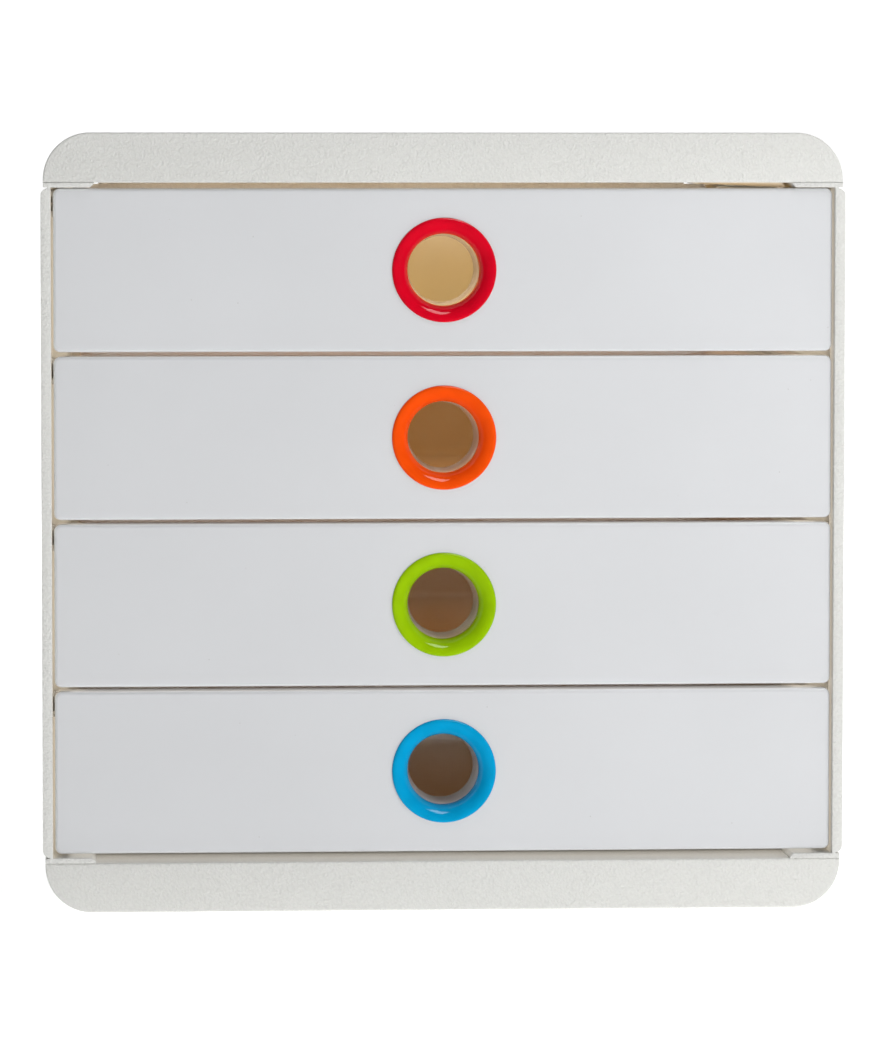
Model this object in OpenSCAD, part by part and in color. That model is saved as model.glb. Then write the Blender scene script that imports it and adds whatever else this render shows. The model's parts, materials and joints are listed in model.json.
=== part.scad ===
// Desktop drawer tower: four moulded drawers with bell-mouth grip rings in a five-panel housing.
// Millimetres. +Z is up, the drawers open towards -Y, and the origin is on the floor under the centre.

/* [Housing] */
// Width over the side panels
cab_w = 300; // [240:1:380]
// Depth from the front plane to the rear plane
cab_d = 360; // [290:1:440]
// Height of the top cover and of the base cover
cover_h = 18.6; // [18:0.1:26]
// Radius of the covers' long outer edges
cover_r = 17.5; // [8:0.5:17.5]
// How far each cover stands in from a side panel's outer face
cover_inset = 0.9; // [0.5:0.1:1.5]
// Wall of the covers
cover_t = 2.5; // [2:0.1:3.5]
// Wall of the side panels
side_t = 3.75; // [2.5:0.05:5]
// Radius of a side panel's outer top and bottom edges
side_r = 2.5; // [1:0.1:2.5]
// Thickness of the rear panel
rear_t = 2.5; // [2:0.1:3.5]
// Thickness of the floor panel that closes the base cover
floor_t = 2; // [1.6:0.1:2.6]

/* [Side panel flanges and runners] */
// Width of the flanges that carry the covers, from the panel's inner face
flange_w = 16; // [13:0.5:24]
// Thickness of those flanges
flange_t = 1.8; // [1.4:0.1:2.4]
// How far the runner ledges stand in from the side wall
ledge_w = 7; // [5:0.5:12]
// Thickness of a ledge at its tip
ledge_t = 1.8; // [1.4:0.1:2.4]
// Extra thickness of a ledge where it meets the wall
ledge_draft = 0.5; // [0:0.1:1]

/* [Drawers] */
// Height of a drawer front
front_h = 60.8; // [52:0.1:100]
// Gap between two drawer fronts
front_gap = 1.7; // [1.5:0.1:5]
// Gap between the top drawer front and the side panels' top flanges
top_gap = 0.3; // [0.3:0.1:3]
// Gap between the bottom drawer front and the side panels' bottom flanges
bottom_gap = 1.5; // [0.5:0.1:3]
// Gap between a drawer front and each side wall
side_gap = 0.85; // [0.5:0.05:1.5]
// How far the fronts stand behind the housing's front plane
front_recess = 1.75; // [0:0.05:4]
// Depth of the hollow drawer front
front_d = 12; // [10:0.5:16]
// Wall of the drawer front
front_t = 2.4; // [1.8:0.1:3]
// Radius of the front's corners, seen from the front
front_corner_r = 2.6; // [1.5:0.1:5]
// Radius of the front's outer edge
front_edge_r = 1.4; // [0.6:0.1:1.4]
// Wall of the tub
tub_t = 2; // [1.5:0.1:3]
// Radius of the tub's upright outer corners
tub_corner_r = 9; // [5:0.5:16]
// Radius of the tub's lower outer edges
tub_floor_r = 6; // [4:0.5:12]
// Length of tub that the housing still holds when a drawer is fully open
stay_in = 65; // [50:1:120]

/* [Grip ring] */
// Radius of the finger hole at the ring
ring_bore_r = 13.3; // [10:0.1:16]
// Width of the ring from the finger hole to the lip's outer edge, seen from the front
ring_w = 6.2; // [5.8:0.1:7.5]
// How much the collar's bore narrows in radius towards its far end
collar_taper = 1; // [0:0.1:1.5]
// How far the lip stands proud of the drawer front
lip_proud = 0.9; // [0.6:0.1:1.5]
// Depth behind the front face at which the bell mouth ends
bell_d = 5.6; // [4.5:0.1:6.5]
// Depth of the collar's far end behind the front face
collar_d = 22; // [19:0.5:28]

/* [Feet and screws] */
// How far the feet stand out under the base
foot_proud = 1; // [0.6:0.1:3]
// Radius of a foot
foot_r = 8; // [6:0.5:12]
// Distance of a foot's centre from the side and from the front or rear plane
foot_inset = 30; // [24:1:60]
// Radius of a screw's shank
screw_r = 1.4; // [1:0.1:2]
// Length of a screw in its boss
screw_l = 10; // [6:0.5:12]

/* [Fits] */
// Clearance between pieces that are fixed to each other
fixed_fit = 0.15; // [0.1:0.05:0.25]
// Running clearance under a tub's flange
slide_fit = 0.3; // [0.2:0.05:0.5]
// Clearance over a tub's flange, where its stop lug runs
lug_room = 3; // [2.5:0.1:4]

/* [Hidden] */
$fn = 96;
drawer_count = 4;
eps = 0.01;

// Softened edges of the small round pieces
soft_edge = 0.5;

// Housing levels, from the floor up
base_top = foot_proud + cover_h;
front_z0 = base_top + flange_t + bottom_gap;
pitch = front_h + front_gap;
cover_z = front_z0 + drawer_count * pitch - front_gap + top_gap + flange_t;
panel_h = cover_z - base_top;
front_y = -cab_d / 2;
rear_y = cab_d / 2;
wall_x = cab_w / 2 - side_t;
cover_w = cab_w - 2 * cover_inset;

// Drawer front
face_y = front_y + front_recess;
front_back_y = face_y + front_d;
front_w = 2 * (wall_x - side_gap);

// Fine groove outside a side panel, between its wall and the flange that carries a cover
groove_h = 0.4;
groove_d = 0.6 * side_t;

// Share of a flange's thickness that stays square at its slanted tip
tip_share = 0.25;

// Rear panel and its grooves
rear_gap = 0.2;
rear_panel_y = rear_y - cover_t - rear_gap - rear_t;
groove_rib_t = 1.8;
groove_rib_w = 4;
tongue_h = 5;
tongue_gap = 1;
tongue_r = 3;
lattice_margin = 12;
lattice_inset = 4;

// Floor panel and the ribs of the covers
floor_gap = 0.3;
cover_rib_h = 8.6;

// Tub
tub_lift = 2;
rim_drop = 6;
tub_flange_t = 2.2;
tub_side_gap = 0.75;
tub_w = 2 * (wall_x - ledge_w - tub_side_gap);
rear_room = 10;
tub_rear_y = rear_panel_y - rear_room;
travel = tub_rear_y - front_y - stay_in;

// Runners and stops
ledge_gap = 0.65;
ledge_y = front_back_y + ledge_gap;
stop_setback = 2;
stop_y = ledge_y + stop_setback;
stop_l = 6;
stop_ramp = 3;
stop_fit = 0.4;
lug_l = 8;
lug_ramp = 4;
lug_y = stop_y + stop_l + slide_fit + travel;
lug_h = lug_room - stop_fit;

// Ring and collar, as depths behind the front face
lip_w = 1;
lip_cover = 2.3;
ring_r = ring_bore_r + ring_w;
lip_edge_r = ring_r - lip_w;
spigot_r = ring_r - lip_cover;
spigot_d = front_t + 2;
neck_t = 2;
neck_l = 1.8;
neck_r = ring_bore_r + neck_t;
neck_d = bell_d + neck_l;
collar_wall = 1.5;
collar_r = neck_r + fixed_fit + collar_wall;
collar_end_r = ring_bore_r - collar_taper;
collar_flange_r = ring_r;
collar_flange_t = 1.8;
barb_h = 0.8;
barb_room = 0.5;
barb_angle = 24;
barb_r = spigot_r + barb_h;
boss_r = barb_r + barb_room;
boss_t = 1.6;

// Clips that hold a front on its tub
clip_w = 10;
clip_t = 1.6;
clip_hook = 1.2;
clip_reach = 2.2;
clip_inset = 50;
clip_x = tub_w / 2 - clip_inset;
clip_z = 8;

// Screws, their bosses and the feet
screw_head_r = 3.2;
screw_head_h = 1.7;
screw_from_tip = 5;
screw_x = wall_x - flange_w + screw_from_tip;
screw_inset = 58;
screw_y = cab_d / 2 - screw_inset;
screw_boss_r = 4;
foot_sink = 1.2;
foot_pad_w = 2.5;
foot_pad_r = foot_r + foot_pad_w;

ring_colours = ["#d8062a", "#f8440a", "#8fc107", "#0c93cf"];

// Height of the lower edge of drawer n's front; drawer 1 is the top one
function front_z(n) = front_z0 + (drawer_count - n) * pitch;
function rim_z(n) = front_z(n) + front_h - rim_drop;
function ring_z(n) = front_z(n) + front_h / 2;

// Extrudes an outline drawn in X and Z from y0 to y1
module along_y(y0, y1) {
    translate([0, y1, 0]) rotate([90, 0, 0]) linear_extrude(y1 - y0) children();
}

// Extrudes an outline drawn in Y and Z from x0 to x1
module along_x(x0, x1) {
    translate([x0, 0, 0]) rotate([90, 0, 90]) linear_extrude(x1 - x0) children();
}

// Box between two opposite corners
module block(a, b) {
    translate(a) cube(b - a);
}

// Turns a revolved profile so that its axis runs back from the front face of drawer n
module on_grip_axis(n) {
    translate([0, face_y, ring_z(n)]) rotate([-90, 0, 0]) children();
}

// Rectangle with its lower left corner at p; rounded says which corners are round:
// [lower left, lower right, upper right, upper left]
module round_rect(p, size, r, rounded = [1, 1, 1, 1]) {
    corners = [[0, 0], [1, 0], [1, 1], [0, 1]];
    translate(p) difference() {
        square(size);
        for (i = [0:3]) if (rounded[i] == 1) {
            c = corners[i];
            inward = [1 - 2 * c[0], 1 - 2 * c[1]];
            at = [c[0] * size[0], c[1] * size[1]];
            difference() {
                translate([min(at[0], at[0] + inward[0] * r) - (1 - c[0]) * 1,
                           min(at[1], at[1] + inward[1] * r) - (1 - c[1]) * 1])
                    square([r + 1, r + 1]);
                translate([at[0] + inward[0] * r, at[1] + inward[1] * r]) circle(r);
            }
        }
    }
}

// ---------------------------------------------------------------- covers

// Outline of a cover in X and Z, open side down, drawn w wide and h high
module cover_outline(w, h, r) {
    round_rect([-w / 2, 0], [w, h], r, [0, 0, 1, 1]);
}

// The cover moulding with its open side at z = 0, and its ribs from rib_z up
module cover_shell(rib_z) {
    rib_t = 1.6;
    slot_y = rear_panel_y - rear_gap;
    slot_z = max(rib_z, tongue_h + tongue_gap);
    rib_top = cover_h - cover_t / 2;
    edge_r = 1.5;
    difference() {
        union() {
            difference() {
                intersection() {
                    along_y(front_y, rear_y) cover_outline(cover_w, cover_h, cover_r);
                    along_x(-cab_w, cab_w)
                        round_rect([front_y, -1], [cab_d, cover_h + 1], edge_r, [0, 0, 1, 1]);
                }
                translate([0, 0, -eps]) along_y(front_y + cover_t, rear_y - cover_t)
                    cover_outline(cover_w - 2 * cover_t, cover_h - cover_t + eps, cover_r - cover_t);
            }
            intersection() {
                along_y(front_y + cover_t / 2, rear_y - cover_t / 2)
                    cover_outline(cover_w - cover_t, rib_top, cover_r - cover_t / 2);
                union() {
                    for (i = [-2:2]) {
                        x = i * cover_w / 6;
                        block([x - rib_t / 2, front_y, rib_z], [x + rib_t / 2, slot_y, cover_h]);
                        block([x - rib_t / 2, slot_y - 1, slot_z], [x + rib_t / 2, rear_y, cover_h]);
                    }
                    for (i = [-2:2]) {
                        y = i * cab_d / 6;
                        block([-cover_w / 2, y - rib_t / 2, rib_z], [cover_w / 2, y + rib_t / 2, cover_h]);
                    }
                    for (sx = [-1, 1], sy = [-1, 1])
                        translate([sx * screw_x, sy * screw_y, 0]) cylinder(r = screw_boss_r, h = cover_h);
                }
            }
        }
        for (sx = [-1, 1], sy = [-1, 1])
            translate([sx * screw_x, sy * screw_y, -1])
                cylinder(r = screw_r + fixed_fit, h = screw_l + 2, $fn = 48);
    }
}

module top_cover() {
    color("#dcdcd6") translate([0, 0, cover_z]) cover_shell(cover_h - cover_t / 2 - cover_rib_h);
}

module base_cover() {
    color("#dcdcd6") difference() {
        union() {
            translate([0, 0, base_top]) mirror([0, 0, 1]) cover_shell(floor_t);
            at_feet(foot_proud + cover_t / 2) cylinder(r = foot_pad_r, h = cover_t + foot_sink / 2);
        }
        at_feet(0) cylinder(r = foot_r + fixed_fit, h = foot_proud + foot_sink);
    }
}

// Panel laid on the base cover's ribs, round its screw bosses, under the side panels' flanges
module floor_panel() {
    w = cover_w - 2 * (cover_t + floor_gap);
    y0 = front_y + cover_t + floor_gap;
    y1 = rear_panel_y - floor_gap;
    color("#dcdcd6") translate([0, 0, base_top - floor_t]) linear_extrude(floor_t) difference() {
        translate([-w / 2, y0]) square([w, y1 - y0]);
        for (sx = [-1, 1], sy = [-1, 1])
            translate([sx * screw_x, sy * screw_y]) circle(screw_boss_r + fixed_fit);
    }
}

// ---------------------------------------------------------------- side panels

// C-section of the right side panel in X and Z: wall with rounded outer edges, groove, slanted flanges
module side_section() {
    tip_x = wall_x - flange_w;
    end_x = cab_w / 2 - cover_inset;
    drop = flange_t + groove_h;
    round_rect([wall_x, base_top + drop], [side_t, panel_h - 2 * drop], side_r, [0, 1, 1, 0]);
    translate([wall_x, base_top]) square([side_t - groove_d, panel_h]);
    for (top = [0, 1]) {
        outer_z = top ? cover_z : base_top;
        inner_z = top ? cover_z - flange_t : base_top + flange_t;
        tip_z = outer_z + (inner_z - outer_z) * tip_share;
        polygon([[end_x, outer_z], [tip_x, outer_z], [tip_x, tip_z],
                 [tip_x + flange_t * (1 - tip_share), inner_z], [end_x, inner_z]]);
    }
}

// Ledge under a tub's flange and guard over it, in X and Z, for drawer n
module runner_section(n) {
    tip_x = wall_x - ledge_w;
    root_x = wall_x + side_t / 2;
    ledge_top = rim_z(n) - tub_flange_t - slide_fit;
    guard_z = rim_z(n) + lug_room;
    polygon([[root_x, ledge_top], [tip_x, ledge_top], [tip_x, ledge_top - ledge_t],
             [root_x, ledge_top - ledge_t - ledge_draft]]);
    polygon([[root_x, guard_z], [tip_x, guard_z], [tip_x, guard_z + ledge_t],
             [root_x, guard_z + ledge_t + ledge_draft / 2]]);
}

// Stop under the guard over drawer n's flange: upright face to the rear, ramp to the front
module stop_section(n) {
    root_z = rim_z(n) + lug_room + ledge_t / 2;
    tip_z = rim_z(n) + stop_fit;
    stop_end = stop_y + stop_l;
    polygon([[stop_y, root_z], [stop_y + stop_ramp, tip_z], [stop_end, tip_z], [stop_end, root_z]]);
}

module right_panel() {
    groove_y0 = rear_panel_y - fixed_fit - groove_rib_t;
    difference() {
        union() {
            along_y(front_y, rear_y) side_section();
            along_y(ledge_y, groove_y0 + groove_rib_t / 2)
                for (n = [1:drawer_count]) runner_section(n);
            along_x(wall_x - ledge_w, wall_x + side_t / 2)
                for (n = [1:drawer_count]) stop_section(n);
            for (y = [groove_y0, rear_panel_y + rear_t + fixed_fit])
                block([wall_x - groove_rib_w, y, base_top + flange_t / 2],
                      [wall_x + side_t / 2, y + groove_rib_t, cover_z - flange_t / 2]);
        }
        for (sy = [-1, 1])
            translate([screw_x, sy * screw_y, base_top - 1])
                cylinder(r = screw_r + 2 * fixed_fit, h = panel_h + 2, $fn = 48);
    }
}

module right_side_panel() {
    color("#d6d6cf") right_panel();
}

module left_side_panel() {
    color("#d6d6cf") mirror([1, 0, 0]) right_panel();
}

// ---------------------------------------------------------------- rear panel

module rear_panel() {
    panel_w = 2 * (wall_x - fixed_fit);
    tongue_w = 2 * (wall_x - flange_w - tongue_gap);
    lattice_w = tongue_w - 2 * lattice_inset;
    rib_t = 1.8;
    rib_h = 3;
    z0 = base_top + flange_t + fixed_fit;
    z1 = cover_z - flange_t - fixed_fit;
    color("#d2d2ca") union() {
        along_y(rear_panel_y, rear_panel_y + rear_t) {
            translate([-panel_w / 2, z0]) square([panel_w, z1 - z0]);
            round_rect([-tongue_w / 2, base_top - tongue_h], [tongue_w, panel_h + 2 * tongue_h], tongue_r);
        }
        for (i = [0:drawer_count]) {
            z = z0 + lattice_margin + i * (z1 - z0 - 2 * lattice_margin) / drawer_count;
            block([-lattice_w / 2, rear_panel_y - rib_h, z - rib_t / 2],
                  [lattice_w / 2, rear_panel_y + rear_t / 2, z + rib_t / 2]);
        }
        for (i = [-2:2]) {
            x = i * (lattice_w - rib_t) / 4;
            block([x - rib_t / 2, rear_panel_y - rib_h, z0 + lattice_margin],
                  [x + rib_t / 2, rear_panel_y + rear_t / 2, z1 - lattice_margin]);
        }
    }
}

// ---------------------------------------------------------------- feet and screws

module at_feet(z) {
    for (sx = [-1, 1], sy = [-1, 1])
        translate([sx * (cab_w / 2 - foot_inset), sy * (cab_d / 2 - foot_inset), z]) children();
}

module feet() {
    color("#4a4a4a") at_feet(0) rotate_extrude()
        polygon([[0, 0], [foot_r - soft_edge, 0], [foot_r, soft_edge],
                 [foot_r, foot_proud + foot_sink], [0, foot_proud + foot_sink]]);
}

// A screw standing on its head's underside at z = 0, shank up
module screw() {
    rotate_extrude($fn = 48)
        polygon([[0, -screw_head_h], [screw_head_r * 0.6, -screw_head_h], [screw_head_r, -soft_edge],
                 [screw_head_r, 0], [screw_r, 0], [screw_r, flange_t + screw_l - screw_r],
                 [0, flange_t + screw_l]]);
}

module top_screws() {
    color("silver") for (sx = [-1, 1], sy = [-1, 1])
        translate([sx * screw_x, sy * screw_y, cover_z - flange_t]) screw();
}

module base_screws() {
    color("silver") for (sx = [-1, 1], sy = [-1, 1])
        translate([sx * screw_x, sy * screw_y, base_top + flange_t]) mirror([0, 0, 1]) screw();
}

// ---------------------------------------------------------------- drawers

// Solid with the tub's outline, drawn in from its outer walls by inset, from the floor up to z1
module tub_form(z0, z1, inset) {
    w = tub_w - 2 * inset;
    y0 = front_back_y + inset;
    y1 = tub_rear_y - inset;
    floor_r = tub_floor_r - inset;
    intersection() {
        along_y(y0, y1) round_rect([-w / 2, z0 + inset], [w, z1 - z0 - inset], floor_r, [1, 1, 0, 0]);
        translate([0, 0, z0]) linear_extrude(z1 - z0)
            round_rect([-w / 2, y0], [w, y1 - y0], tub_corner_r - inset);
    }
}

// Windows in the tub's front wall for the four clips: room for the arm and, on its outer side, the hook
module clip_windows(n) {
    below = clip_t / 2 + fixed_fit;
    beyond = clip_t / 2 + clip_hook + fixed_fit;
    for (sx = [-1, 1]) {
        x = sx * clip_x - clip_w / 2 - fixed_fit;
        w = clip_w + 2 * fixed_fit;
        translate([x, rim_z(n) - clip_z - below]) square([w, below + beyond]);
        translate([x, front_z(n) + clip_z - beyond]) square([w, below + beyond]);
    }
}

// Right-hand runner flange of drawer n's tub with its stop lug, in two profiles along Y
module tub_flange(n) {
    root_x = tub_w / 2 - tub_t / 2;
    tip_x = wall_x - side_gap;
    z1 = rim_z(n);
    block([root_x, front_back_y + tub_corner_r, z1 - tub_flange_t], [tip_x, tub_rear_y - tub_corner_r, z1]);
    along_x(tub_w / 2 + tub_side_gap, tip_x)
        polygon([[lug_y, z1 - tub_flange_t / 2], [lug_y, z1 + lug_h], [lug_y + lug_l - lug_ramp, z1 + lug_h],
                 [lug_y + lug_l, z1], [lug_y + lug_l, z1 - tub_flange_t / 2]]);
}

module drawer_tub(n) {
    z0 = front_z(n) + tub_lift;
    z1 = rim_z(n);
    color("#e6e6e2") difference() {
        union() {
            tub_form(z0, z1, 0);
            tub_flange(n);
            mirror([1, 0, 0]) tub_flange(n);
        }
        tub_form(z0, z1 + 1, tub_t);
        on_grip_axis(n) cylinder(r = collar_r + fixed_fit, h = 2 * front_d);
        along_y(front_back_y - 1, front_back_y + tub_t + 1) clip_windows(n);
    }
}

// Clip seen from the side: arm from the front's inner face with a hook behind the tub's wall
module clip(x, z, up) {
    y0 = face_y + front_t / 2;
    y1 = front_back_y + tub_t + fixed_fit;
    h = up * clip_hook;
    t = up * clip_t / 2;
    along_x(x - clip_w / 2, x + clip_w / 2)
        polygon([[y0, z - t], [y1 + clip_reach, z - t], [y1 + clip_reach, z + t], [y1, z + t + h],
                 [y1, z + t], [y0, z + t]]);
}

module drawer_front(n) {
    z0 = front_z(n);
    rib_t = 1.4;
    rib_setback = 3;
    rib_y = front_back_y - rib_setback;
    color("#e4e5e8") difference() {
        union() {
            difference() {
                intersection() {
                    along_y(face_y, front_back_y)
                        round_rect([-front_w / 2, z0], [front_w, front_h], front_corner_r);
                    along_x(-cab_w, cab_w)
                        round_rect([face_y, z0], [front_d, front_h], front_edge_r, [1, 0, 0, 1]);
                    translate([0, 0, z0]) linear_extrude(front_h)
                        round_rect([-front_w / 2, face_y], [front_w, front_d], front_edge_r, [1, 1, 0, 0]);
                }
                along_y(face_y + front_t, front_back_y + 1)
                    translate([-front_w / 2 + front_t, z0 + front_t])
                        square([front_w - 2 * front_t, front_h - 2 * front_t]);
            }
            for (i = [-3:3]) {
                x = i * front_w / 7;
                block([x - rib_t / 2, face_y + front_t / 2, z0 + front_t / 2],
                      [x + rib_t / 2, rib_y, z0 + front_h - front_t / 2]);
            }
            on_grip_axis(n) translate([0, 0, front_t / 2])
                cylinder(r = boss_r + boss_t, h = front_d - front_t / 2);
            for (sx = [-1, 1]) {
                clip(sx * clip_x, rim_z(n) - clip_z, 1);
                clip(sx * clip_x, z0 + clip_z, -1);
            }
        }
        on_grip_axis(n) translate([0, 0, -1]) cylinder(r = spigot_r + fixed_fit, h = front_d);
        on_grip_axis(n) translate([0, 0, front_t]) cylinder(r = boss_r, h = front_d);
    }
}

// Half section of the ring: radius against depth, the bell mouth a quarter of an ellipse
module ring_section() {
    rise = bell_d + lip_proud;
    run = lip_edge_r - ring_bore_r;
    steps = 24;
    bell = [for (i = [0:steps])
        [lip_edge_r - run * cos(90 * i / steps), bell_d - rise * sin(90 * i / steps)]];
    lip_steps = 6;
    lip = [for (i = [1:lip_steps])
        [lip_edge_r + (ring_r - lip_edge_r) * sin(90 * i / lip_steps),
         -lip_proud * cos(90 * i / lip_steps)]];
    polygon(concat([[ring_bore_r, neck_d]], bell, lip,
                   [[spigot_r, 0], [spigot_r, spigot_d], [neck_r, spigot_d], [neck_r, neck_d]]));
}

module drawer_ring(n) {
    color(ring_colours[n - 1]) on_grip_axis(n) union() {
        rotate_extrude() ring_section();
        for (i = [0:3])
            rotate([0, 0, 45 + 90 * i - barb_angle / 2]) rotate_extrude(angle = barb_angle)
                polygon([[spigot_r - soft_edge, front_t + fixed_fit], [barb_r, front_t + fixed_fit],
                         [spigot_r - eps, spigot_d - eps], [spigot_r - soft_edge, spigot_d - eps]]);
    }
}

// Half section of the collar: socket over the ring's neck, flange in the tub, tapered bore
module collar_section() {
    wall_d = front_d + tub_t;
    socket_r = neck_r + fixed_fit;
    end_t = 1.6;
    end_draft = 1;
    end_r = collar_end_r + end_t;
    polygon([[socket_r, spigot_d + fixed_fit], [collar_r, spigot_d + fixed_fit], [collar_r, wall_d],
             [collar_flange_r, wall_d], [collar_flange_r, wall_d + collar_flange_t - soft_edge],
             [collar_flange_r - soft_edge, wall_d + collar_flange_t],
             [end_r + end_draft, wall_d + collar_flange_t],
             [end_r, collar_d - soft_edge], [end_r - soft_edge, collar_d],
             [collar_end_r + soft_edge, collar_d], [collar_end_r, collar_d - soft_edge],
             [ring_bore_r, neck_d], [socket_r, neck_d]]);
}

module drawer_collar(n) {
    color("#f2f2f0") on_grip_axis(n) rotate_extrude() collar_section();
}

top_cover();
base_cover();
floor_panel();
left_side_panel();
right_side_panel();
rear_panel();
feet();
top_screws();
base_screws();
for (n = [1:drawer_count]) {
    drawer_tub(n);
    drawer_front(n);
    drawer_ring(n);
    drawer_collar(n);
}
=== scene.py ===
"""Looks of the four-drawer plastic tower: moulded housing, gloss drawer fronts and coloured grip rings."""

import json
import math

import bpy
from bpy.props import FloatProperty, FloatVectorProperty, PointerProperty
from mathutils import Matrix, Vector


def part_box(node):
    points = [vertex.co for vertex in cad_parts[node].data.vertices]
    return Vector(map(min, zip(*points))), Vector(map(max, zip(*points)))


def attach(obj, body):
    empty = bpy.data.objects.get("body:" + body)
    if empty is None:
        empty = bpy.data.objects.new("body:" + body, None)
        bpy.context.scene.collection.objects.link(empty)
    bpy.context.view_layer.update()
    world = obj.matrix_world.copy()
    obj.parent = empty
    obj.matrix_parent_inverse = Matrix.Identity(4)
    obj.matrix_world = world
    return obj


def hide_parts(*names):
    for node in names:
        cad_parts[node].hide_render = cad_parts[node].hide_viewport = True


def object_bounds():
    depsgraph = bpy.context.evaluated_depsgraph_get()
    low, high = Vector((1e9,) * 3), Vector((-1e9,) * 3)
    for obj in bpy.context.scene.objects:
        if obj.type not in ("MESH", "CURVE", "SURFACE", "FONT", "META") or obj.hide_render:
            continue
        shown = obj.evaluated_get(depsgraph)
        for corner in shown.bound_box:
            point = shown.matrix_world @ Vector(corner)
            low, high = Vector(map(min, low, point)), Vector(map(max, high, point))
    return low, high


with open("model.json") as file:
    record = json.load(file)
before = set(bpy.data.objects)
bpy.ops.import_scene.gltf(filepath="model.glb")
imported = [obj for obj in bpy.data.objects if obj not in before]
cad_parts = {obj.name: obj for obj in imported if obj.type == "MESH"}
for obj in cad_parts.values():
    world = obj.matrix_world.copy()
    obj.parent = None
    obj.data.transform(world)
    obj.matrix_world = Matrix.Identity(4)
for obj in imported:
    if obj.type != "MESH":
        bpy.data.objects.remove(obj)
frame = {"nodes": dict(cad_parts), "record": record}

bl_info = {
    "name": "Plastic drawer tower",
    "version": (1, 0, 0),
    "blender": (4, 5, 0),
    "location": "3D View > Sidebar > Drawer tower",
    "description": "Builds the moulded pieces, finishes and studio of a four-drawer plastic tower",
    "category": "Object",
}

CAD_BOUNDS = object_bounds()
DRAWERS = (1, 2, 3, 4)
MM = 0.001

# The planes that the pieces share, read from the frame
COVER_LOW, COVER_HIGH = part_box("top_cover")
BASE_LOW, BASE_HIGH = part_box("base_cover")
SIDE_LOW, SIDE_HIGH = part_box("right_side_panel")
FRONT_PLANE = SIDE_LOW.y
REAR_PLANE = SIDE_HIGH.y
CORNERS = ((-1, -1), (1, -1), (-1, 1), (1, 1))
SCREW_PLACES = [(sx * 135.25 * MM, sy * 122 * MM) for sx, sy in CORNERS]


# ---------------------------------------------------------------- properties


def length(name, description, millimetres):
    return FloatProperty(name=name, description=description, default=millimetres * MM, unit="LENGTH", precision=5)


def colour(name, description, rgb):
    return FloatVectorProperty(
        name=name, description=description, default=rgb, size=3, subtype="COLOR", min=0.0, max=1.0
    )


class TowerHousing(bpy.types.PropertyGroup):
    cover_radius: length("Cover radius", "Radius of the covers' long outer edges", 17.5)
    cover_wall: length("Cover wall", "Wall of the top and base covers", 2.5)
    cover_edge: length("Cover edge", "Softening of the covers' front and rear edges", 0.9)
    side_wall: length("Side wall", "Wall of the side panels", 3.75)
    side_radius: length("Side radius", "Radius of a side panel's outer top and bottom edges", 2.5)
    flange_thickness: length("Flange", "Thickness of the side panels' flanges", 1.8)
    groove: length("Groove", "Height of the groove between a side wall and its flanges", 0.4)
    ledge_width: length("Ledge width", "How far the runner ledges stand in from the wall", 7.0)
    edge: length("Edge", "Softening of the housing's small edges", 0.35)
    rib: length("Rib", "Thickness of the moulded ribs", 1.6)


class TowerDrawer(bpy.types.PropertyGroup):
    front_depth: length("Front depth", "Depth of the hollow drawer front", 12.0)
    front_wall: length("Front wall", "Wall of the drawer front", 2.4)
    front_corner: length("Front corner", "Radius of a front's corners", 2.6)
    front_edge: length("Front edge", "Radius of a front's outer edge", 1.4)
    tub_wall: length("Tub wall", "Wall of the tubs", 2.0)
    tub_corner: length("Tub corner", "Radius of a tub's upright corners", 9.0)
    tub_floor: length("Tub floor", "Radius of a tub's lower edges", 6.0)
    flange_thickness: length("Runner flange", "Thickness of a tub's runner flange", 2.2)
    edge: length("Edge", "Softening of a tub's edges", 0.4)


class TowerGrip(bpy.types.PropertyGroup):
    bore: length("Bore", "Radius of the finger hole", 13.3)
    lip: length("Lip", "How far a ring's lip stands proud of the front", 0.9)
    lip_edge: length("Lip edge", "Radius of the lip's outer edge", 1.0)
    bell_depth: length("Bell depth", "Depth at which the bell mouth ends", 5.6)
    ring_depth: length("Ring depth", "Depth at which the ring ends", 7.4)
    taper: length("Taper", "How much the collar's bore narrows in radius", 1.0)
    collar_depth: length("Collar depth", "Depth at which the collar ends", 22.0)


class TowerColours(bpy.types.PropertyGroup):
    housing: colour("Housing", "Grained white of the housing", (0.757, 0.757, 0.728))
    front: colour("Front", "Gloss white of the drawer fronts", (0.742, 0.752, 0.769))
    tub: colour("Tub", "Satin white of the tubs", (0.80, 0.78, 0.73))
    collar: colour("Collar", "Gloss white of the collars", (0.86, 0.85, 0.83))
    ring_1: colour("Ring 1", "Red of the top ring", (0.72, 0.002, 0.018))
    ring_2: colour("Ring 2", "Orange of the second ring", (0.99, 0.085, 0.003))
    ring_3: colour("Ring 3", "Green of the third ring", (0.33, 0.57, 0.002))
    ring_4: colour("Ring 4", "Blue of the bottom ring", (0.001, 0.36, 0.68))
    rubber: colour("Rubber", "Grey of the feet", (0.045, 0.045, 0.047))
    steel: colour("Steel", "Zinc of the screws", (0.58, 0.58, 0.60))
    floor: colour("Floor", "Pale studio floor", (0.86, 0.86, 0.86))


# ---------------------------------------------------------------- modelling helpers


def deselect():
    if bpy.context.object is not None and bpy.context.object.mode != "OBJECT":
        bpy.ops.object.mode_set(mode="OBJECT")
    bpy.ops.object.select_all(action="DESELECT")


def activate(piece):
    deselect()
    piece.select_set(True)
    bpy.context.view_layer.objects.active = piece


def settle(piece, name):
    """Names the piece and puts its place and size in its mesh, so that its object sits at the origin."""
    activate(piece)
    bpy.ops.object.transform_apply(location=True, rotation=True, scale=True)
    piece.name = name
    piece.data.name = name
    return piece


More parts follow.
